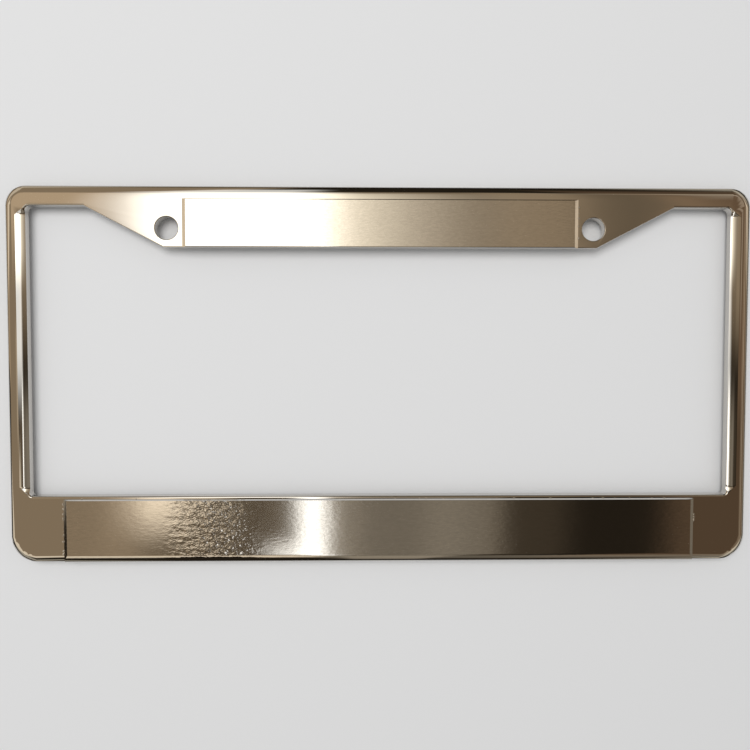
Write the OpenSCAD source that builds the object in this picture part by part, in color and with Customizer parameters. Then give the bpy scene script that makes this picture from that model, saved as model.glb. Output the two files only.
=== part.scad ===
// Number plate frame: one die-cast, chrome-plated piece that lies over the front of a plate.
// Millimetres. The origin is at the middle of the back, on the plane that the skirt rests on.
// X runs along the frame, Y runs up towards the rail with the screw holes, Z comes out of the front.

/* [Number plate] */
// Length of the plate that the frame holds
plate_len = 304.8; // [280:0.1:340]
// Height of the plate that the frame holds
plate_ht = 152.4; // [130:0.1:180]
// Clearance left around the edge of the plate
plate_gap = 0.6; // [0.3:0.1:0.9]
// Depth of the pocket in the back that takes the plate
seat_z = 2.4; // [1.6:0.1:2.8]

/* [Frame] */
// How far the frame reaches past each end of the plate
side_border = 3.6; // [2.8:0.1:6]
// How far the frame reaches past the top edge of the plate
top_border = 1.9; // [1.8:0.1:4]
// How far the frame reaches past the bottom edge of the plate
bottom_border = 3.7; // [2:0.1:6]
// Height of the front face above the back
face_z = 6.0; // [5.8:0.1:8]
// Thickness of the casting behind the front face
wall = 2.0; // [1.6:0.1:2.4]
// Radius of the two upper corners, seen from the front
upper_corner_r = 8.5; // [7:0.1:10]
// Radius of the two lower corners, seen from the front
lower_corner_r = 11.0; // [7:0.1:12]

/* [Rolled outer edge] */
// Width of the rolled edge, from the flat face to the side wall
roll_w = 3.7; // [3.4:0.1:4.4]
// Radius of the gentle crown next to the flat face
crown_r = 9.0; // [8:0.5:14]
// Angle in degrees at which the crown breaks away from the flat face
crown_break = 10; // [4:1:14]
// Radius of the tight roll between the crown and the side wall
roll_r = 1.9; // [1.4:0.1:2.2]
// How far the roll's circle stands out past the crown's, which leaves a fine line between the two
roll_ridge = 0.04; // [0.02:0.01:0.08]
// How far every rounding overshoots the flats beside it, which leaves a fine line at their border
overshoot = 0.02; // [0.01:0.005:0.04]

/* [Window] */
// Width of the two side rails
side_rail = 8.75; // [8.3:0.05:11]
// Height of the narrow ends of the top rail
top_rail = 8.7; // [8.3:0.1:11]
// Height of the bottom rail
bottom_rail = 28.4; // [20:0.1:40]
// Radius of the upper window corners
window_upper_r = 2.5; // [1.5:0.1:4]
// Radius of the lower window corners
window_lower_r = 1.5; // [1:0.1:3]
// Radius of the rounded front edge around the window
window_edge_r = 1.0; // [0.8:0.1:2]
// Width of the gentle crown on the window side of each side rail
rail_crown_w = 3.8; // [3:0.1:4.2]
// Radius of that crown, seen across the rail
rail_crown_r = 10.5; // [9:0.5:14]
// Angle in degrees at which that crown breaks away from the flat face
rail_crown_break = 3.5; // [3.5:0.5:6]
// Radius in which that crown lifts out of the face at each end of a side rail
rail_crown_end_r = 4.0; // [3:0.5:7]

/* [Screw ears] */
// Distance between the centres of the two screw holes
hole_spacing = 177.8; // [160:0.1:190]
// Drop of the hole centres below the top edge of the plate
hole_drop = 15.9; // [15:0.1:18]
// Diameter of the screw holes
hole_d = 9.5; // [6:0.1:10]
// Radius of the rounded front rim of each hole
hole_rim_r = 0.5; // [0.2:0.1:0.8]
// Depth of the ears below the hole centres
ear_drop = 7.9; // [7.5:0.1:10]
// Length of an ear's level lower edge past its hole centre
ear_reach = 1.4; // [0:0.1:8]
// Angle in degrees of the slope from the ear up to the top rail
ear_angle = 27.5; // [22:0.5:40]
// Radius of the rounded front edge of the ears
ear_edge_r = 0.6; // [0.3:0.1:1]

/* [Raised panels] */
// Rise of both panels above the front face
panel_rise = 0.8; // [0.4:0.1:1.4]
// Gap between the end of the top panel and the rim of a screw hole
panel_hole_gap = 1.75; // [1:0.05:6]
// Distance of the top panel from the top edge of the frame
panel_setback = 5.6; // [5:0.1:8]
// Distance of each end of the bottom panel from the end of the frame
panel_end_gap = 23.0; // [14:0.5:60]
// Run of the sloping ends of the panels
panel_end_slope = 1.6; // [0.6:0.1:2.4]
// Run of the sloping upper edges of the panels
panel_top_slope = 0.5; // [0.4:0.1:1.6]
// Width of the strip of face between the bottom panel and the window
panel_strip = 1.3; // [1.1:0.1:4]

/* [Hollow back] */
// Width of the lip that the plate seats on, around the window
lip = 2.2; // [1.8:0.1:2.6]
// Width of the ledge between the pocket's wall and the hollow
ledge = 0.8; // [0.5:0.1:1.2]
// Radius of the corners of the pocket
pocket_r = 6.0; // [5:0.1:7]
// Diameter of the boss around each screw hole
boss_d = 15.0; // [13:0.5:17]
// Thickness of the ribs
rib_t = 1.4; // [1:0.1:2.4]
// Number of ribs behind the bottom panel
bottom_ribs = 7; // [3:1:11]
// Number of ribs behind the top panel
top_ribs = 3; // [1:1:5]

/* [Hidden] */
$fn = 96;
cut = 1;

frame_x = plate_len / 2 + side_border;
frame_y = (plate_ht + top_border + bottom_border) / 2;
plate_top = frame_y - top_border;
plate_bottom = -frame_y + bottom_border;

window_x = frame_x - side_rail;
window_top = frame_y - top_rail;
window_bottom = -frame_y + bottom_rail;

hole_x = hole_spacing / 2;
hole_y = plate_top - hole_drop;
ear_y = hole_y - ear_drop;
ear_x = hole_x + ear_reach;
ear_root_x = ear_x + (window_top - ear_y) / tan(ear_angle);

panel_z = face_z + panel_rise;
top_panel_x = hole_x - hole_d / 2 - panel_hole_gap;
top_panel_y = frame_y - panel_setback;
bottom_panel_x = frame_x - panel_end_gap;
bottom_panel_y = window_bottom - panel_strip;

pocket_x = plate_len / 2 + plate_gap;
pocket_top = plate_top + plate_gap;
pocket_bottom = plate_bottom - plate_gap;

// Centre of a crown's arc, as [distance in from the edge, height], for a face at height z: the crown
// is w wide, has radius r and leaves the face at the angle a. Without these it is the outer edge's.
function crown_at(z, w = roll_w, r = crown_r, a = crown_break) = [w + r * sin(a), z - r * cos(a)];

// Centre of the tight roll's arc, which meets the side wall and the crown at slight angles.
function roll_at(z) =
    let (c = crown_at(z), x = roll_r - overshoot, reach = crown_r - roll_r + roll_ridge)
    [x, c[1] + sqrt(reach * reach - (c[0] - x) * (c[0] - x))];

// Outside of the rolled edge, in two parts that overlap above the line where the crown meets the roll.
// x is the distance in from the outer edge, y is the height.
module crown_outside(z) {
    crown = crown_at(z);
    difference() {
        translate([-cut, z - roll_w])
            square([crown[0] + cut, 2 * roll_w]);
        translate(crown)
            circle(crown_r);
    }
}

module roll_outside(z) {
    crown = crown_at(z);
    roll = roll_at(z);
    out = (roll - crown) / norm(roll - crown);
    difference() {
        polygon([roll, [-cut, roll[1]], [-cut, z + roll_w], roll + (roll_r + roll_w) * out]);
        translate(roll)
            circle(roll_r);
    }
}

// Cuts the rolled edge along a straight run, len long, with the frame's inside to its left.
module roll_run(from, angle, len, z) {
    translate([from[0], from[1], 0])
        rotate([0, 0, angle])
            rotate([90, 0, 90]) {
                linear_extrude(len)
                    crown_outside(z);
                linear_extrude(len)
                    roll_outside(z);
            }
}

// Cuts the rolled edge around a corner of radius r.
module roll_turn(centre, angle, r) {
    translate([centre[0], centre[1], 0])
        rotate([0, 0, angle]) {
            rotate_extrude(angle = 90)
                translate([r, 0])
                    mirror([1, 0])
                        crown_outside(face_z);
            rotate_extrude(angle = 90)
                translate([r, 0])
                    mirror([1, 0])
                        roll_outside(face_z);
        }
}

// Slab with rounded corners: one radius for the upper corners and one for the lower ones.
module rounded_slab(x, top, bottom, upper_r, lower_r, h) {
    translate([-x, bottom + lower_r, 0])
        cube([2 * x, top - upper_r - bottom - lower_r, h]);
    translate([-x + upper_r, (top + bottom) / 2, 0])
        cube([2 * (x - upper_r), (top - bottom) / 2, h]);
    translate([-x + lower_r, bottom, 0])
        cube([2 * (x - lower_r), (top - bottom) / 2, h]);
    for (side = [-1, 1]) {
        translate([side * (x - upper_r), top - upper_r, 0])
            cylinder(h = h, r = upper_r);
        translate([side * (x - lower_r), bottom + lower_r, 0])
            cylinder(h = h, r = lower_r);
    }
}

// The whole front as a solid slab with its rolled edge, before anything is cut out.
module slab() {
    upper = frame_y - upper_corner_r;
    lower = frame_y - lower_corner_r;
    upper_x = frame_x - upper_corner_r;
    lower_x = frame_x - lower_corner_r;
    difference() {
        rounded_slab(frame_x, frame_y, -frame_y, upper_corner_r, lower_corner_r, face_z);
        roll_run([frame_x, -lower], 90, upper + lower, face_z);
        roll_run([-frame_x, upper], -90, upper + lower, face_z);
        roll_run([upper_x, frame_y], 180, 2 * upper_x, face_z);
        roll_run([-lower_x, -frame_y], 0, 2 * lower_x, face_z);
        roll_turn([upper_x, upper], 0, upper_corner_r);
        roll_turn([-upper_x, upper], 90, upper_corner_r);
        roll_turn([-lower_x, -lower], 180, lower_corner_r);
        roll_turn([lower_x, -lower], 270, lower_corner_r);
    }
}

// What is cut away above a sloping panel end: the slope faces +X and its foot is at half_len.
module end_slope(half_len, from_y, to_y) {
    run = 2 * panel_end_slope;
    rise = 2 * panel_rise;
    past = 3 * cut;
    translate([0, to_y + past, 0])
        rotate([90, 0, 0])
            linear_extrude(to_y - from_y + 2 * past)
                polygon([
                    [half_len + run, face_z - rise], [half_len - run, face_z + rise],
                    [half_len + run, face_z + rise]
                ]);
}

// What is cut away above the sloping upper edge of a panel: the foot of the slope is at y.
module upper_slope(half_len, y) {
    past = half_len + cut;
    translate([-past, 0, 0])
        rotate([90, 0, 90])
            linear_extrude(2 * past)
                polygon([
                    [y, face_z], [y - panel_top_slope, panel_z], [y - panel_top_slope, panel_z + cut],
                    [y + cut, panel_z + cut], [y + cut, face_z]
                ]);
}

// Raised panel in the middle of the top rail, level with the ears' lower edge.
module top_panel() {
    difference() {
        translate([-top_panel_x, ear_y, 0])
            cube([2 * top_panel_x, top_panel_y - ear_y, panel_z]);
        for (side = [0, 1])
            mirror([side, 0, 0])
                end_slope(top_panel_x, ear_y, top_panel_y);
        upper_slope(top_panel_x, top_panel_y);
        round_run([0, ear_y], 0, top_panel_x + cut, top_panel_x + cut, ear_edge_r, panel_z);
    }
}

// Raised panel on the bottom rail, with the rolled edge carried over it.
module bottom_panel() {
    past = bottom_panel_x + cut;
    difference() {
        difference() {
            translate([-bottom_panel_x, -frame_y, 0])
                cube([2 * bottom_panel_x, bottom_panel_y + frame_y, panel_z]);
            roll_run([-past, -frame_y], 0, 2 * past, panel_z);
            upper_slope(bottom_panel_x, bottom_panel_y);
        }
        for (side = [0, 1])
            mirror([side, 0, 0])
                end_slope(bottom_panel_x, -frame_y, window_bottom);
    }
}

// What is cut away along an edge at height z to round it: the corner of a square outside a circle.
// x is the distance in from the edge, and the square starts at from_x.
module round_section(r, z, from_x = -cut) {
    difference() {
        translate([from_x, z - r])
            square([r - overshoot - from_x, r + cut]);
        translate([r - overshoot, z - r + overshoot])
            circle(r);
    }
}

// Rounds a straight front edge that passes through a point at an angle, with the metal to its left.
// It reaches from back behind the point to ahead past it.
module round_run(at, angle, back, ahead, r, z) {
    translate([at[0], at[1], 0])
        rotate([0, 0, angle])
            rotate([90, 0, 90])
                translate([0, 0, -back])
                    linear_extrude(back + ahead)
                        round_section(r, z);
}

// Rounds the front edge of a window corner of radius r, with the metal outside it.
module round_inside_turn(centre, angle, r) {
    translate([centre[0], centre[1], 0])
        rotate([0, 0, angle])
            rotate_extrude(angle = 90)
                translate([r, 0])
                    round_section(window_edge_r, face_z, -r / 2);
}

// Outside of the crown on a side rail, sunk deeper by drop. x is the distance in from the window.
module rail_crown_outside(drop) {
    crown = crown_at(face_z, rail_crown_w, rail_crown_r, rail_crown_break);
    difference() {
        translate([-cut, face_z - rail_crown_w])
            square([crown[0] + cut, rail_crown_w + rail_crown_end_r / 2]);
        translate([crown[0], crown[1] - drop])
            circle(rail_crown_r);
    }
}

// Cuts the crown along the window side of the right rail. At each end it is cut by a wheel with the
// same rim, which stands on the face and carries the crown out of it before the window's corner.
module rail_crown() {
    crown = crown_at(face_z, rail_crown_w, rail_crown_r, rail_crown_break);
    drop = overshoot / 4;
    edge = crown[1] + sqrt(rail_crown_r * rail_crown_r - (crown[0] + cut) * (crown[0] + cut));
    rim = rail_crown_end_r + face_z - edge;
    reach = sqrt(rim * rim - rail_crown_end_r * rail_crown_end_r);
    top = window_top - reach;
    bottom = window_bottom + reach;
    translate([window_x, top, 0])
        rotate([90, 0, 0])
            linear_extrude(top - bottom)
                rail_crown_outside(0);
    for (y = [top, bottom])
        translate([window_x, y, face_z + rail_crown_end_r])
            rotate([0, 90, 0])
                rotate_extrude()
                    rotate(90)
                        translate([0, -face_z - rail_crown_end_r])
                            rail_crown_outside(drop);
}

// Rounding around the window at the height of the front face.
module face_roundings() {
    upper = window_top - window_upper_r;
    lower = window_bottom + window_lower_r;
    upper_x = window_x - window_upper_r;
    lower_x = window_x - window_lower_r;
    slope_len = (window_top - ear_y) / sin(ear_angle);
    round_run([lower_x, window_bottom], 180, 0, 2 * lower_x, window_edge_r, face_z);
    for (side = [0, 1])
        mirror([side, 0, 0]) {
            rail_crown();
            round_run([upper_x, window_top], 0, upper_x - ear_root_x + ear_edge_r / 2, 0, window_edge_r, face_z);
            round_inside_turn([upper_x, upper], 0, window_upper_r);
            round_run([window_x, upper], -90, 0, upper - lower, window_edge_r, face_z);
            round_inside_turn([lower_x, lower], 270, window_lower_r);
            round_run([ear_x, ear_y], 0, ear_x - top_panel_x + panel_end_slope, cut, ear_edge_r, face_z);
            round_run([ear_x, ear_y], ear_angle, cut, slope_len + ear_edge_r / 2, ear_edge_r, face_z);
        }
}

// The window: a rounded opening less the two ears and the strip between them.
module window() {
    h = panel_z + 2 * cut;
    past = cut / tan(ear_angle);
    difference() {
        rounded_slab(window_x, window_top, window_bottom, window_upper_r, window_lower_r, h);
        linear_extrude(h)
            polygon([
                [-ear_root_x - past, window_top + cut], [-ear_x, ear_y],
                [ear_x, ear_y], [ear_root_x + past, window_top + cut]
            ]);
    }
}

// Where the inner line of the lip behind an ear's slope reaches the height y.
function lip_x(y) = ear_x + (y - ear_y) / tan(ear_angle) - lip / sin(ear_angle);

// Hollow ring in the back, h deep from the seat, between the pocket's ledge and the lip.
module hollow_ring(h) {
    low = ear_y + lip;
    high = window_top + lip;
    difference() {
        rounded_slab(pocket_x - ledge, pocket_top - ledge, pocket_bottom + ledge,
            pocket_r - ledge, pocket_r - ledge, h);
        linear_extrude(h)
            polygon([
                [-window_x - lip, window_bottom - lip], [-window_x - lip, high], [-lip_x(high), high],
                [-lip_x(low), low], [lip_x(low), low], [lip_x(high), high],
                [window_x + lip, high], [window_x + lip, window_bottom - lip]
            ]);
    }
}

// Ribs left standing in the hollow, level with the seat.
module ribs() {
    bottom_pitch = 2 * bottom_panel_x / (bottom_ribs - 1);
    top_pitch = 2 * top_panel_x / (top_ribs + 1);
    for (i = [0 : bottom_ribs - 1])
        translate([-bottom_panel_x + i * bottom_pitch - rib_t / 2, pocket_bottom, seat_z])
            cube([rib_t, window_bottom - pocket_bottom, panel_z]);
    for (i = [1 : top_ribs])
        translate([-top_panel_x + i * top_pitch - rib_t / 2, ear_y, seat_z])
            cube([rib_t, pocket_top - ear_y, panel_z]);
}

// The deeper hollows behind the raised panels, which keep the wall even.
module panel_hollows() {
    h = panel_z - wall - seat_z;
    bottom_x = bottom_panel_x - panel_end_slope - wall;
    top_x = top_panel_x - panel_end_slope - wall;
    translate([-bottom_x, pocket_bottom + ledge, seat_z])
        cube([2 * bottom_x, window_bottom - lip - pocket_bottom - ledge, h]);
    translate([-top_x, ear_y + lip, seat_z])
        cube([2 * top_x, top_panel_y - panel_top_slope - wall - ear_y - lip, h]);
}

// Everything hollowed out behind the face, with the ribs and the screw bosses left in.
module hollow() {
    difference() {
        union() {
            translate([0, 0, seat_z - cut])
                hollow_ring(face_z - wall - seat_z + cut);
            panel_hollows();
        }
        ribs();
        for (side = [-1, 1])
            translate([side * hole_x, hole_y, 0])
                cylinder(h = face_z, d = boss_d);
    }
}

// A screw hole with its rounded front rim.
module screw_hole() {
    cylinder(h = panel_z + cut, d = hole_d);
    rotate_extrude()
        translate([hole_d / 2, 0])
            round_section(hole_rim_r, face_z, -hole_d / 4);
}

module plate_frame() {
    color("gainsboro")
        difference() {
            union() {
                difference() {
                    slab();
                    face_roundings();
                }
                bottom_panel();
                top_panel();
            }
            translate([0, 0, -cut])
                window();
            translate([0, 0, -cut])
                rounded_slab(pocket_x, pocket_top, pocket_bottom, pocket_r, pocket_r, seat_z + cut);
            hollow();
            for (side = [-1, 1])
                translate([side * hole_x, hole_y, 0])
                    screw_hole();
        }
}

plate_frame();
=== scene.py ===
"""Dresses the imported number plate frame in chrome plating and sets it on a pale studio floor."""

import random
from math import radians, tau

import bmesh
import bpy
from bpy.props import (
    FloatProperty,
    FloatVectorProperty,
    IntProperty,
    PointerProperty,
)
from mathutils import Matrix, Vector


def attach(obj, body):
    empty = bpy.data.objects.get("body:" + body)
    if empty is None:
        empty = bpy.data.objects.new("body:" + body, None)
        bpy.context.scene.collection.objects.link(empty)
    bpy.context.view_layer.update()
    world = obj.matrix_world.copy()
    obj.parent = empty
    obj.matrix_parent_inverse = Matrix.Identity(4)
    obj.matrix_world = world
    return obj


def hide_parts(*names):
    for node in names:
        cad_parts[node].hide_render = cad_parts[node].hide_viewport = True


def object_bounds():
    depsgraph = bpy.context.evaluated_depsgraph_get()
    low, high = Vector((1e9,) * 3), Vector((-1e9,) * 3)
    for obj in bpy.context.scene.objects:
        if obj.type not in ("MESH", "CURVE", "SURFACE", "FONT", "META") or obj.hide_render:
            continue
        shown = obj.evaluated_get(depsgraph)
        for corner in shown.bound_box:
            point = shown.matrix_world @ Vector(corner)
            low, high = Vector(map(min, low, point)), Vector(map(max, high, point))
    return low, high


bl_info = {
    "name": "Chrome plate frame",
    "version": (1, 0, 0),
    "blender": (4, 5, 0),
    "location": "View3D > Sidebar > Plate frame",
    "description": "Builds the chrome plate frame's looks and its studio",
    "category": "Object",
}

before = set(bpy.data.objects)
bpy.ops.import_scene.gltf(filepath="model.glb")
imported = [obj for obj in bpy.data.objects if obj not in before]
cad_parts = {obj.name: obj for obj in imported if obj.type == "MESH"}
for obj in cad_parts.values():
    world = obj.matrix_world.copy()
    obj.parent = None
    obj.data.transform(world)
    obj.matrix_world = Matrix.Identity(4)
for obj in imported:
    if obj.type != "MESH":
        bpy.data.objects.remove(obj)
CAD_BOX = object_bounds()
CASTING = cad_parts["plate_frame"]

# Places on the frame's front, in metres from its middle
PANEL_RISE = 0.0008
PANEL_Z = CAD_BOX[1][2]
FACE_Z = PANEL_Z - PANEL_RISE
BOTTOM_PANEL_X = 0.133
BOTTOM_PANEL_TOP = -0.0519
TOP_PANEL_X = 0.0824
TOP_PANEL_BASE = 0.0533
PATCH_X = -0.071
PATCH_HALF = 0.025

# Heights and widths over which the panels' finish comes in at their edges
MASK_RISE = (FACE_Z + 0.0002, PANEL_Z - 0.0001)
MASK_END = 0.002
MASK_SIDE = 0.001

# Noise stretched along the panels: coordinates, detail and roughness
STREAK_SCALE = (0.25, 1.0, 1.0)
STREAK_DETAIL = 3.0
PEBBLE_SCALE = (0.6, 1.0, 1.0)
GRAIN_ROUGHNESS = 0.6
POLISH_LOW = 0.75
POLISH_CHANGE = 0.5

MERGE_DISTANCE = 1e-7

# The studio's floor and camera
PAINT_ROUGHNESS = 0.8
PAINT_GLOSS = 0.1
FLOOR_SIDES = 64
SENSOR_WIDTH = 36.0
CAMERA_SHIFT = -1.0 / 750.0
CLIP_START = 0.01


class PlatingSettings(bpy.types.PropertyGroup):
    """Colour and surface of the chrome plating."""

    colour: FloatVectorProperty(
        name="Plating colour",
        description="Colour of the polished chrome",
        subtype="COLOR",
        min=0.0,
        max=1.0,
        default=(0.64, 0.622, 0.59),
    )
    roughness: FloatProperty(
        name="Polish",
        description="Roughness of the polished rails",
        subtype="FACTOR",
        min=0.0,
        max=1.0,
        default=0.05,
    )
    panel_roughness: FloatProperty(
        name="Panel polish",
        description="Roughness of the two raised panels",
        subtype="FACTOR",
        min=0.0,
        max=1.0,
        default=0.075,
    )
    ripple_size: FloatProperty(
        name="Ripple size",
        description="Size of the slow ripples in the plating",
        unit="LENGTH",
        default=0.012,
    )
    ripple_depth: FloatProperty(
        name="Ripple depth",
        description="Height of the slow ripples in the plating",
        unit="LENGTH",
        default=0.000012,
    )
    pebble_size: FloatProperty(
        name="Pebble size",
        description="Size of the fine pebbling on the raised panels",
        unit="LENGTH",
        default=0.0012,
    )
    pebble_depth: FloatProperty(
        name="Pebble depth",
        description="Height of the fine pebbling on the raised panels",
        unit="LENGTH",
        default=7e-06,
    )
    patch_size: FloatProperty(
        name="Patch size",
        description="Size of the coarse pebbling in the left half of the bottom panel",
        unit="LENGTH",
        default=0.0018,
    )
    patch_depth: FloatProperty(
        name="Patch depth",
        description="Height of the coarse pebbling in the left half of the bottom panel",
        unit="LENGTH",
        default=0.00023,
    )
    brush_shade: FloatProperty(
        name="Brush shade",
        description="How much the brush marks darken the raised panels",
        subtype="FACTOR",
        min=0.0,
        max=1.0,
        default=0.3,
    )
    brush_size: FloatProperty(
        name="Brush size",
        description="Width of the fine brush marks along the raised panels",
        unit="LENGTH",
        default=0.0005,
    )
    brush_depth: FloatProperty(
        name="Brush depth",
        description="Height of the fine brush marks along the raised panels",
        unit="LENGTH",
        default=5e-06,
    )
    crease_angle: FloatProperty(
        name="Crease angle",
        description="Edges of the casting that turn by more than this stay sharp",
        subtype="ANGLE",
        default=radians(24.0),
    )


class SpeckSettings(bpy.types.PropertyGroup):
    """Small lumps that the plating has left along the panels' edges."""

    size: FloatProperty(
        name="Speck size",
        description="Radius of a middling speck",
        unit="LENGTH",
        default=0.0003,
    )
    spread: FloatProperty(
        name="Speck spread",
        description="How far the specks' radii differ from the middling one",
        subtype="FACTOR",
        min=0.0,
        max=0.9,
        default=0.5,
    )
    flatness: FloatProperty(
        name="Speck flatness",
        description="Height of a speck as a share of its radius",
        subtype="FACTOR",
        min=0.1,
        max=1.0,
        default=0.7,
    )
    seed: IntProperty(
        name="Speck seed",
        description="Start of the random numbers that place the specks",
        default=5,
    )


class StudioSettings(bpy.types.PropertyGroup):
    """Floor, lights and camera."""

    floor_colour: FloatVectorProperty(
        name="Floor colour",
        description="Colour of the pale floor",
        subtype="COLOR",
        min=0.0,
        max=1.0,
        default=(0.84, 0.84, 0.84),
    )
    fade_start: FloatProperty(
        name="Fade start",
        description="Distance from the frame at which the floor starts to turn white",
        unit="LENGTH",
        default=0.3,
    )
    fade_end: FloatProperty(
        name="Fade end",
        description="Distance from the frame at which the floor is as white as the backdrop",
        unit="LENGTH",
        default=1.3,
    )
    lens: FloatProperty(
        name="Lens",
        description="Focal length of the camera in millimetres",
        default=28.27,
    )
    camera_place: FloatVectorProperty(
        name="Camera place",
        description="Place of the camera above the frame",
        subtype="TRANSLATION",
        unit="LENGTH",
        default=(-0.0059, 0.0088, 0.2527),
    )
    camera_turn: FloatVectorProperty(
        name="Camera turn",
        description="Turn of the camera from straight down",
        subtype="EULER",
        default=(radians(-1.876), radians(-0.799), radians(0.029)),
    )
    dome_radius: FloatProperty(
        name="Dome radius",
        description="Radius of the lit dome that the chrome mirrors",
        unit="LENGTH",
        default=3.0,
    )
    key_power: FloatProperty(
        name="Key light power",
        description="Power of the soft lamp over the floor",
        unit="POWER",
        default=9.0,
    )
    key_place: FloatVectorProperty(
        name="Key light place",
        description="Place of the soft lamp, high over the frame's upper left",
        subtype="TRANSLATION",
        unit="LENGTH",
        default=(-0.35, 0.45, 1.3),
    )
    key_size: FloatProperty(
        name="Key light size",
        description="Width of the soft lamp over the floor",
        unit="LENGTH",
        default=0.9,
    )
    wall_tone: FloatProperty(
        name="Wall tone",
        description="Brightness of the dome away from its soft boxes",
        min=0.0,
        max=1.0,
        default=0.022,
    )
    ceiling_glow: FloatProperty(
        name="Ceiling glow",
        description="Brightness of the ceiling beside the window box, which falls off to the right",
        min=0.0,
        max=3.0,
        default=1.75,
    )
    plain_glow: FloatProperty(
        name="Plain glow",
        description="Brightness of the dome's plain white light over the floor",
        min=0.0,
        max=2.0,
        default=0.48,
    )
    rings: IntProperty(
        name="Dome rings",
        description="Faces of the dome from its rim to its top",
        default=24,
    )


class Nodes:
    """Short calls that add and link shader nodes in one tree."""

    def __init__(self, tree):
        self.tree = tree
        tree.nodes.clear()

    def add(self, kind, **settings):
        node = self.tree.nodes.new(kind)
        for name, value in settings.items():
            setattr(node, name, value)
        return node

    def feed(self, socket, value):
        if isinstance(value, bpy.types.NodeSocket):
            self.tree.links.new(value, socket)
        elif value is not None:
            socket.default_value = value

    def math(self, operation, first, second=None, third=None, clamp=False):
        node = self.add("ShaderNodeMath", operation=operation, use_clamp=clamp)
        for socket, value in zip(node.inputs, (first, second, third)):
            self.feed(socket, value)
        return node.outputs[0]

    def ramp(self, value, low, high, smooth=True):
        """0 below low, 1 above high and a soft change in between; low above high turns it round."""
        node = self.add("ShaderNodeMapRange")
        node.interpolation_type = "SMOOTHSTEP" if smooth else "LINEAR"
        node.clamp = True
        self.feed(node.inputs["Value"], value)
        if low < high:
            bounds = (low, high, 0.0, 1.0)
        else:
            bounds = (high, low, 1.0, 0.0)
        for name, bound in zip(("From Min", "From Max", "To Min", "To Max"), bounds):
            node.inputs[name].default_value = bound
        return node.outputs["Result"]

    def window(self, value, low, high, soft):
        """1 between low and high, falling to 0 over the width soft on each side."""
        rise = self.ramp(value, low - soft / 2, low + soft / 2)
        fall = self.ramp(value, high + soft / 2, high - soft / 2)
        return self.math("MULTIPLY", rise, fall)

    def tint(self, amount, colour):
        """colour times amount."""
        node = self.add("ShaderNodeMix", data_type="RGBA", blend_type="MIX")
        node.clamp_factor = False
        self.feed(node.inputs["Factor"], amount)
        node.inputs["A"].default_value = (0.0, 0.0, 0.0, 1.0)
        self.feed(node.inputs["B"], colour)
        return node.outputs["Result"]

    def plus(self, first, second):
        node = self.add("ShaderNodeMix", data_type="RGBA", blend_type="ADD")
        node.inputs["Factor"].default_value = 1.0
        self.feed(node.inputs["A"], first)
        self.feed(node.inputs["B"], second)
        return node.outputs["Result"]

    def vector(self, scale=(1.0, 1.0, 1.0)):
        place = self.add("ShaderNodeTexCoord")
        mapping = self.add("ShaderNodeMapping")
        mapping.inputs["Scale"].default_value = scale
        self.feed(mapping.inputs["Vector"], place.outputs["Object"])
        return mapping.outputs["Vector"]

    def noise(self, vector, size, detail=2.0, roughness=0.5):
        node = self.add("ShaderNodeTexNoise")
        node.inputs["Scale"].default_value = 1.0 / size
        node.inputs["Detail"].default_value = detail
        node.inputs["Roughness"].default_value = roughness
        self.feed(node.inputs["Vector"], vector)
        return node.outputs["Fac"]

    def emission(self, colour, strength):
        node = self.add("ShaderNodeEmission")
        self.feed(node.inputs["Color"], colour)
        node.inputs["Strength"].default_value = strength
        return node.outputs[0]

    def mix(self, amount, first, second):
        """The first shader where amount is 0 and the second where it is 1."""
        node = self.add("ShaderNodeMixShader")
        for socket, value in zip(node.inputs, (amount, first, second)):
            self.feed(socket, value)
        return node.outputs[0]

    def surface(self, shader, output="ShaderNodeOutputMaterial"):
        self.feed(self.add(output).inputs["Surface"], shader)

    def bump(self, height, depth, before=None):
        node = self.add("ShaderNodeBump")
        node.inputs["Strength"].default_value = 1.0
        node.inputs["Distance"].default_value = depth
        self.feed(node.inputs["Height"], height)
        self.feed(node.inputs["Normal"], before)
        return node.outputs["Normal"]


def new_material(name):
    material = bpy.data.materials.new(name)
    material.use_nodes = True
    return material, Nodes(material.node_tree)


def panel_masks(nodes):
    """1 on the two raised panels and 0 around them, and the same for the coarse patch."""
    place = nodes.add("ShaderNodeTexCoord")
    split = nodes.add("ShaderNodeSeparateXYZ")
    nodes.feed(split.inputs[0], place.outputs["Object"])
    x, y, z = split.outputs[0], split.outputs[1], split.outputs[2]
    half = nodes.math("ABSOLUTE", x)
    raised = nodes.ramp(z, *MASK_RISE)
    low = nodes.math(
        "MULTIPLY",
        nodes.ramp(half, BOTTOM_PANEL_X, BOTTOM_PANEL_X - MASK_END),
        nodes.ramp(y, BOTTOM_PANEL_TOP + MASK_SIDE, BOTTOM_PANEL_TOP - MASK_SIDE),
    )
    high = nodes.math(
        "MULTIPLY",
        nodes.ramp(half, TOP_PANEL_X, TOP_PANEL_X - MASK_END),
        nodes.ramp(y, TOP_PANEL_BASE - MASK_SIDE, TOP_PANEL_BASE + MASK_SIDE),
    )
    panels = nodes.math("MULTIPLY", raised, nodes.math("ADD", low, high), clamp=True)
    rise = nodes.ramp(x, PATCH_X - PATCH_HALF, PATCH_X)
    fall = nodes.ramp(x, PATCH_X + PATCH_HALF, PATCH_X)
    patch = nodes.math("MULTIPLY", nodes.math("MULTIPLY", rise, fall), low)
    return panels, nodes.math("MULTIPLY", raised, patch)


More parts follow.
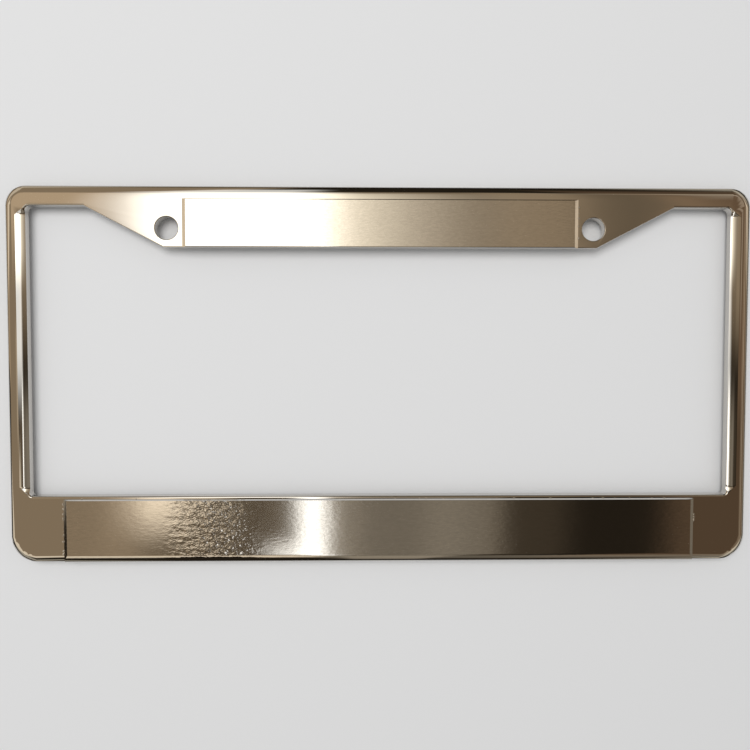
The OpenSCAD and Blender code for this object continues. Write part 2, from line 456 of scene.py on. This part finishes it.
def chrome_plating(plating):
    """Polished chrome with slow ripples, pebbled and brushed on the raised panels."""
    material, nodes = new_material("chrome_plating")
    shader = nodes.add("ShaderNodeBsdfPrincipled")
    shader.inputs["Metallic"].default_value = 1.0
    mask, patch = panel_masks(nodes)
    streaks = nodes.noise(
        nodes.vector(STREAK_SCALE), plating.brush_size, STREAK_DETAIL, GRAIN_ROUGHNESS
    )
    shade = nodes.math("MULTIPLY_ADD", streaks, -plating.brush_shade, plating.brush_shade / 2)
    shade = nodes.math("MULTIPLY_ADD", shade, mask, 1.0)
    nodes.feed(shader.inputs["Base Color"], nodes.tint(shade, (*plating.colour, 1.0)))
    change = nodes.math("MULTIPLY", mask, plating.panel_roughness - plating.roughness)
    polish = nodes.math("ADD", change, plating.roughness)
    spread = nodes.math("MULTIPLY_ADD", streaks, POLISH_CHANGE, POLISH_LOW)
    nodes.feed(shader.inputs["Roughness"], nodes.math("MULTIPLY", polish, spread))
    ripples = nodes.noise(nodes.vector(), plating.ripple_size, 1.0)
    normal = nodes.bump(ripples, plating.ripple_depth)
    pebbles = nodes.noise(
        nodes.vector(PEBBLE_SCALE), plating.pebble_size, roughness=GRAIN_ROUGHNESS
    )
    lumps = nodes.noise(
        nodes.vector(PEBBLE_SCALE), plating.patch_size, roughness=GRAIN_ROUGHNESS
    )
    for height, place, depth in (
        (pebbles, mask, plating.pebble_depth),
        (lumps, patch, plating.patch_depth),
        (streaks, mask, plating.brush_depth),
    ):
        normal = nodes.bump(nodes.math("MULTIPLY", height, place), depth, normal)
    nodes.feed(shader.inputs["Normal"], normal)
    nodes.surface(shader.outputs[0])
    return material


def place_mesh(name, mesh, material):
    """Links a finished mesh as an object at the origin, with one material."""
    piece = bpy.data.objects.new(name, mesh)
    bpy.context.scene.collection.objects.link(piece)
    mesh.materials.clear()
    mesh.materials.append(material)
    return piece


class PLATEFRAME_OT_casting(bpy.types.Operator):
    """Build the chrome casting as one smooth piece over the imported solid"""

    bl_idname = "plateframe.casting"
    bl_label = "Chrome casting"

    def execute(self, context):
        plating = context.scene.plating
        shape = bmesh.new()
        shape.from_mesh(CASTING.data)
        bmesh.ops.remove_doubles(shape, verts=shape.verts, dist=MERGE_DISTANCE)
        for face in shape.faces:
            face.smooth = True
        for edge in shape.edges:
            if len(edge.link_faces) != 2:
                raise RuntimeError("the casting's copy isn't closed")
            edge.smooth = edge.calc_face_angle(0.0) < plating.crease_angle
        mesh = bpy.data.meshes.new("chrome_casting")
        shape.to_mesh(mesh)
        shape.free()
        piece = place_mesh("chrome_casting", mesh, chrome_plating(plating))
        weights = piece.modifiers.new("Flat faces stay flat", "WEIGHTED_NORMAL")
        weights.mode = "FACE_AREA"
        weights.weight = 100
        weights.keep_sharp = True
        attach(piece, "root")
        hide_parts("plate_frame")
        return {"FINISHED"}


class SpeckRow:
    """A line with a number of specks on it and how far they stray from it."""

    def __init__(self, start, end, count, stray):
        self.start = Vector(start)
        self.end = Vector(end)
        self.count = count
        self.stray = stray


SPECK_GAP = 0.0003
SPECK_STRETCH = 1.7
LEFT_END = -BOTTOM_PANEL_X - SPECK_GAP
RIGHT_END = BOTTOM_PANEL_X + SPECK_GAP
TOP_END = TOP_PANEL_X + SPECK_GAP
END_TOP = -0.0538
END_BASE = -0.0752
SPECK_ROWS = (
    SpeckRow((LEFT_END, END_TOP), (LEFT_END, END_BASE), 16, 0.0001),
    SpeckRow((LEFT_END, -0.075), (LEFT_END + 0.009, -0.0762), 9, 0.0006),
    SpeckRow((RIGHT_END, END_TOP), (RIGHT_END, END_BASE), 4, 0.0002),
    SpeckRow((TOP_END, 0.0545), (TOP_END, 0.0725), 5, 0.0001),
    SpeckRow((0.086, BOTTOM_PANEL_TOP), (0.122, BOTTOM_PANEL_TOP), 9, 0.0002),
    SpeckRow((-0.128, BOTTOM_PANEL_TOP), (0.08, BOTTOM_PANEL_TOP), 12, 0.0002),
)


class PLATEFRAME_OT_specks(bpy.types.Operator):
    """Scatter the small plating specks along the panels' edges"""

    bl_idname = "plateframe.specks"
    bl_label = "Plating specks"

    def execute(self, context):
        specks = context.scene.specks
        plating = bpy.data.materials.get("chrome_plating")
        if plating is None:
            raise RuntimeError("build the chrome casting before its specks")
        chance = random.Random(specks.seed)
        shape = bmesh.new()
        for row in SPECK_ROWS:
            for index in range(row.count):
                place = row.start.lerp(row.end, chance.uniform(0.0, 1.0))
                radius = specks.size * (1 + chance.uniform(-1.0, 1.0) * specks.spread)
                centre = Vector((
                    place.x + chance.uniform(-1.0, 1.0) * row.stray,
                    place.y + chance.uniform(-1.0, 1.0) * row.stray,
                    FACE_Z,
                ))
                turn = Matrix.Rotation(chance.uniform(0.0, tau), 4, "Z")
                stretch = Matrix.Diagonal(
                    (chance.uniform(1.0, SPECK_STRETCH), 1.0, specks.flatness, 1.0)
                )
                bmesh.ops.create_icosphere(
                    shape,
                    subdivisions=2,
                    radius=radius,
                    matrix=Matrix.Translation(centre) @ turn @ stretch,
                )
        for face in shape.faces:
            face.smooth = True
        mesh = bpy.data.meshes.new("plating_specks")
        shape.to_mesh(mesh)
        shape.free()
        piece = place_mesh("plating_specks", mesh, plating)
        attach(piece, "root")
        return {"FINISHED"}


WHITE = (1.0, 0.99, 0.96)
PALE = (1.0, 0.92, 0.76)
CREAM = (1.0, 0.86, 0.67)
WARM = (1.0, 0.75, 0.49)
AMBER = (1.0, 0.62, 0.36)
PURE_WHITE = (1.0, 1.0, 1.0, 1.0)

# Angles on the dome, in degrees, where the ceiling's glow is none and where it is full
CEILING_FALL = (24.0, -6.5)
CEILING_FRONT = (5.5, 10.5)
CEILING_BACK = (44.0, 16.0)
CEILING_LEFT = (-26.0, -18.0)

# How steeply the ceiling's glow falls off to the right
CEILING_POWER = 3.0


class SoftBox:
    """
    A soft rectangle of light on the dome, in degrees from straight up, seen from the frame:
    across runs from left to right, and along from the bottom rail's side to the top rail's.
    """

    def __init__(self, across, along, soft, strength, colour):
        self.across = across
        self.along = along
        self.soft = soft
        self.strength = strength
        self.colour = colour


WINDOW_BOX = SoftBox((-25.2, -4.7), (-3.0, 41.0), (9.0, 8.0), 1.1, WHITE)
WINDOW_HAZE = SoftBox((-27.0, -9.0), (38.0, 61.0), (8.0, 9.0), 0.9, WHITE)
CEILING_TAIL = SoftBox((-10.0, 22.0), (2.0, 46.0), (9.0, 10.0), 0.24, WARM)
CEILING_PATCH = SoftBox((13.5, 22.0), (2.0, 46.0), (5.0, 10.0), 0.08, WARM)
RIGHT_CEILING = SoftBox((21.5, 32.0), (2.0, 46.0), (9.0, 10.0), 0.16, WARM)
LEFT_WALL = SoftBox((-80.0, -23.0), (-40.0, 75.0), (8.0, 14.0), 0.3, WARM)
LEFT_WALL_TOP = SoftBox((-46.0, -24.0), (12.0, 29.0), (8.0, 9.0), 0.31, WARM)
LEFT_EDGE = SoftBox((-36.0, -27.0), (-9.0, 3.0), (4.0, 4.0), 0.25, CREAM)
LEFT_RIM = SoftBox((-90.0, -77.0), (-12.0, 84.0), (8.0, 10.0), 0.35, WARM)
LEFT_LAMP = SoftBox((-24.0, -14.8), (-17.9, -9.5), (5.0, 6.0), 0.7, CREAM)
LEFT_LAMP_CORE = SoftBox((-22.8, -19.6), (-17.9, -9.5), (2.5, 6.0), 0.45, CREAM)
LOW_LEFT = SoftBox((-26.0, -8.0), (-60.0, -5.0), (4.0, 6.0), 0.1, WARM)
TUBE = SoftBox((-7.2, -4.5), (-45.0, -3.0), (2.8, 6.0), 2.2, WHITE)
TUBE_FOOT = SoftBox((-10.4, -7.0), (-26.0, -19.6), (2.0, 1.4), 1.1, WHITE)
TUBE_HALO = SoftBox((-9.5, -1.2), (-45.0, -3.0), (5.0, 6.0), 0.12, CREAM)
LOW_MIDDLE = SoftBox((-5.0, 13.8), (-70.0, -4.0), (4.0, 8.0), 0.2, CREAM)
LOW_PATCH = SoftBox((6.0, 10.5), (-45.0, -4.0), (4.0, 8.0), 0.06, CREAM)
LOW_SHADE = SoftBox((12.0, 20.5), (-45.0, -4.0), (4.0, 8.0), 0.04, WARM)
RIGHT_WALL = SoftBox((29.6, 80.0), (-60.0, 60.0), (4.0, 16.0), 0.095, AMBER)
RIGHT_WALL_FAR = SoftBox((50.0, 80.0), (-60.0, 60.0), (10.0, 16.0), 0.07, WARM)
RIGHT_WALL_TOP = SoftBox((29.0, 75.0), (-6.0, 24.0), (6.0, 8.0), 0.06, AMBER)
RIGHT_GLINT = SoftBox((38.5, 43.0), (4.0, 40.0), (3.0, 8.0), 0.22, CREAM)
RIGHT_LINE_NEAR = SoftBox((53.5, 57.0), (-75.0, 75.0), (1.6, 10.0), 0.15, CREAM)
RIGHT_LINE_MIDDLE = SoftBox((63.5, 69.5), (-75.0, 75.0), (1.6, 10.0), 0.2, CREAM)
RIGHT_LINE_FAR = SoftBox((78.0, 87.0), (-75.0, 75.0), (1.6, 10.0), 0.2, CREAM)
CEILING_LINE = SoftBox((20.0, 75.0), (34.0, 42.0), (6.0, 3.0), 0.09, CREAM)
RIGHT_GLOW = SoftBox((33.0, 43.0), (24.0, 43.0), (4.0, 8.0), 0.22, CREAM)
CORNER_BACK_LEFT = SoftBox((-78.0, -58.0), (54.0, 78.0), (6.0, 6.0), 0.4, PALE)
CORNER_BACK_RIGHT = SoftBox((60.0, 78.0), (54.0, 78.0), (6.0, 6.0), 0.4, PALE)
CORNER_FRONT_LEFT = SoftBox((-78.0, -58.0), (-78.0, -54.0), (6.0, 6.0), 0.4, PALE)
CORNER_FRONT_RIGHT = SoftBox((60.0, 78.0), (-78.0, -54.0), (6.0, 6.0), 0.4, PALE)
PANEL_END_LEFT = SoftBox((-80.0, -60.0), (26.0, 42.0), (6.0, 6.0), 0.6, CREAM)
PANEL_END_RIGHT = SoftBox((60.0, 80.0), (29.0, 45.0), (5.0, 5.0), 0.55, CREAM)
LOW_LINE_LEFT = SoftBox((-80.0, -8.0), (-57.0, -39.0), (8.0, 6.0), 0.9, CREAM)
LOW_LINE_RIGHT = SoftBox((-8.0, 75.0), (-66.0, -51.0), (8.0, 6.0), 0.15, CREAM)
SOFT_BOXES = (
    WINDOW_BOX,
    WINDOW_HAZE,
    CEILING_TAIL,
    CEILING_PATCH,
    RIGHT_CEILING,
    LEFT_WALL,
    LEFT_WALL_TOP,
    LEFT_EDGE,
    LEFT_RIM,
    LEFT_LAMP,
    LEFT_LAMP_CORE,
    LOW_LEFT,
    TUBE,
    TUBE_FOOT,
    TUBE_HALO,
    LOW_MIDDLE,
    LOW_PATCH,
    LOW_SHADE,
    RIGHT_WALL,
    RIGHT_WALL_FAR,
    RIGHT_WALL_TOP,
    RIGHT_GLINT,
    RIGHT_LINE_NEAR,
    RIGHT_LINE_MIDDLE,
    RIGHT_LINE_FAR,
    CEILING_LINE,
    RIGHT_GLOW,
    CORNER_BACK_LEFT,
    CORNER_BACK_RIGHT,
    CORNER_FRONT_LEFT,
    CORNER_FRONT_RIGHT,
    PANEL_END_LEFT,
    PANEL_END_RIGHT,
    LOW_LINE_LEFT,
    LOW_LINE_RIGHT,
)


def dome_light(studio):
    """Plain white light for the floor, and for the chrome a ceiling glow and soft boxes."""
    material, nodes = new_material("studio_dome")
    place = nodes.add("ShaderNodeTexCoord")
    split = nodes.add("ShaderNodeSeparateXYZ")
    nodes.feed(split.inputs[0], place.outputs["Object"])
    x, y, z = split.outputs[0], split.outputs[1], split.outputs[2]
    across = nodes.math("DEGREES", nodes.math("ARCTAN2", x, z))
    along = nodes.math("DEGREES", nodes.math("ARCTAN2", y, z))
    glow = nodes.tint(studio.wall_tone, (*WARM, 1.0))
    fall = nodes.ramp(across, *CEILING_FALL, smooth=False)
    ceiling = nodes.math("POWER", fall, CEILING_POWER)
    edges = ((along, CEILING_FRONT), (along, CEILING_BACK), (across, CEILING_LEFT))
    for angle, bounds in edges:
        ceiling = nodes.math("MULTIPLY", ceiling, nodes.ramp(angle, *bounds))
    ceiling = nodes.math("MULTIPLY", ceiling, studio.ceiling_glow)
    glow = nodes.plus(glow, nodes.tint(ceiling, (*PALE, 1.0)))
    for box in SOFT_BOXES:
        lit = nodes.math(
            "MULTIPLY",
            nodes.window(across, *box.across, box.soft[0]),
            nodes.window(along, *box.along, box.soft[1]),
        )
        lit = nodes.math("MULTIPLY", lit, box.strength)
        glow = nodes.plus(glow, nodes.tint(lit, (*box.colour, 1.0)))
    ray = nodes.add("ShaderNodeLightPath")
    plain = nodes.emission(PURE_WHITE, studio.plain_glow)
    either = nodes.mix(ray.outputs["Is Glossy Ray"], plain, nodes.emission(glow, 1.0))
    nodes.surface(either)
    material.cycles.emission_sampling = "NONE"
    return material


def background_rays(nodes):
    """1 for the rays that show the backdrop: the camera's, and those off metal or through glass."""
    ray = nodes.add("ShaderNodeLightPath")
    seen = nodes.math("MAXIMUM", ray.outputs["Is Camera Ray"], ray.outputs["Is Glossy Ray"])
    return nodes.math("MAXIMUM", seen, ray.outputs["Is Transmission Ray"])


def floor_paint(studio):
    """Matt pale paint that turns as white as the backdrop far from the frame."""
    material, nodes = new_material("floor_paint")
    shader = nodes.add("ShaderNodeBsdfPrincipled")
    shader.inputs["Base Color"].default_value = (*studio.floor_colour, 1.0)
    shader.inputs["Roughness"].default_value = PAINT_ROUGHNESS
    shader.inputs["Specular IOR Level"].default_value = PAINT_GLOSS
    place = nodes.add("ShaderNodeTexCoord")
    distance = nodes.add("ShaderNodeVectorMath", operation="LENGTH")
    nodes.feed(distance.inputs[0], place.outputs["Object"])
    fade = nodes.ramp(distance.outputs["Value"], studio.fade_start, studio.fade_end)
    seen = nodes.math("MULTIPLY", fade, background_rays(nodes))
    nodes.surface(nodes.mix(seen, shader.outputs[0], nodes.emission(PURE_WHITE, 1.0)))
    material.cycles.emission_sampling = "NONE"
    return material


def build_floor(studio):
    ground = bmesh.new()
    bmesh.ops.create_circle(
        ground, cap_ends=True, segments=FLOOR_SIDES, radius=studio.dome_radius
    )
    mesh = bpy.data.meshes.new("floor")
    ground.to_mesh(mesh)
    ground.free()
    return place_mesh("floor", mesh, floor_paint(studio))


def build_dome(studio):
    """The upper half of a sphere, unseen by the camera and by shadow rays."""
    shell = bmesh.new()
    bmesh.ops.create_uvsphere(
        shell,
        u_segments=studio.rings * 3,
        v_segments=studio.rings * 2,
        radius=studio.dome_radius,
    )
    bmesh.ops.bisect_plane(
        shell,
        geom=shell.verts[:] + shell.edges[:] + shell.faces[:],
        plane_co=Vector((0.0, 0.0, 0.0)),
        plane_no=Vector((0.0, 0.0, -1.0)),
        clear_outer=True,
    )
    bmesh.ops.reverse_faces(shell, faces=shell.faces[:])
    mesh = bpy.data.meshes.new("dome")
    shell.to_mesh(mesh)
    shell.free()
    dome = place_mesh("dome", mesh, dome_light(studio))
    dome.visible_camera = False
    dome.visible_shadow = False
    return dome


def hang_lamp(studio):
    """A soft lamp that points at the frame and doesn't show in the chrome."""
    lamp = bpy.data.lights.new("soft_lamp", "AREA")
    lamp.shape = "DISK"
    lamp.size = studio.key_size
    lamp.energy = studio.key_power
    key = bpy.data.objects.new("soft_lamp", lamp)
    key.location = studio.key_place
    key.rotation_euler = (-key.location).to_track_quat("-Z", "Y").to_euler()
    key.visible_glossy = False
    bpy.context.scene.collection.objects.link(key)


def paint_world():
    """A world that is white where it is seen and gives no light."""
    world = bpy.data.worlds.new("studio_world")
    world.use_nodes = True
    nodes = Nodes(world.node_tree)
    sky = nodes.add("ShaderNodeBackground")
    sky.inputs["Color"].default_value = PURE_WHITE
    nodes.feed(sky.inputs["Strength"], background_rays(nodes))
    nodes.surface(sky.outputs[0], "ShaderNodeOutputWorld")
    bpy.context.scene.world = world


def place_camera(studio):
    lens = bpy.data.cameras.new("camera")
    lens.sensor_width = SENSOR_WIDTH
    lens.lens = studio.lens
    lens.shift_y = CAMERA_SHIFT
    lens.clip_start = CLIP_START
    camera = bpy.data.objects.new("camera", lens)
    camera.location = studio.camera_place
    camera.rotation_euler = studio.camera_turn
    bpy.context.scene.collection.objects.link(camera)
    bpy.context.scene.camera = camera


class PLATEFRAME_OT_studio(bpy.types.Operator):
    """Build the pale floor, the lit dome, the soft lamp and the camera"""

    bl_idname = "plateframe.studio"
    bl_label = "Studio"

    def execute(self, context):
        studio = context.scene.studio
        context.scene.view_settings.view_transform = "Standard"
        build_floor(studio)
        build_dome(studio)
        hang_lamp(studio)
        paint_world()
        place_camera(studio)
        return {"FINISHED"}


class PLATEFRAME_PT_panel(bpy.types.Panel):
    """Sidebar panel that lists the settings and the pieces"""

    bl_label = "Chrome plate frame"
    bl_idname = "PLATEFRAME_PT_panel"
    bl_space_type = "VIEW_3D"
    bl_region_type = "UI"
    bl_category = "Plate frame"

    def draw(self, context):
        layout = self.layout
        scene = context.scene
        for settings in (scene.plating, scene.specks, scene.studio):
            box = layout.box()
            for name in settings.__annotations__:
                box.prop(settings, name)
        for operator in OPERATORS:
            layout.operator(operator.bl_idname)


SETTINGS = (PlatingSettings, SpeckSettings, StudioSettings)
OPERATORS = (PLATEFRAME_OT_casting, PLATEFRAME_OT_specks, PLATEFRAME_OT_studio)
CLASSES = (*SETTINGS, *OPERATORS, PLATEFRAME_PT_panel)


def register():
    for cls in CLASSES:
        bpy.utils.register_class(cls)
    bpy.types.Scene.plating = PointerProperty(type=PlatingSettings)
    bpy.types.Scene.specks = PointerProperty(type=SpeckSettings)
    bpy.types.Scene.studio = PointerProperty(type=StudioSettings)


def unregister():
    del bpy.types.Scene.studio
    del bpy.types.Scene.specks
    del bpy.types.Scene.plating
    for cls in reversed(CLASSES):
        bpy.utils.unregister_class(cls)


def main():
    register()
    bpy.ops.plateframe.studio()
    bpy.ops.plateframe.casting()
    bpy.ops.plateframe.specks()


if __name__ == "__main__":
    main()
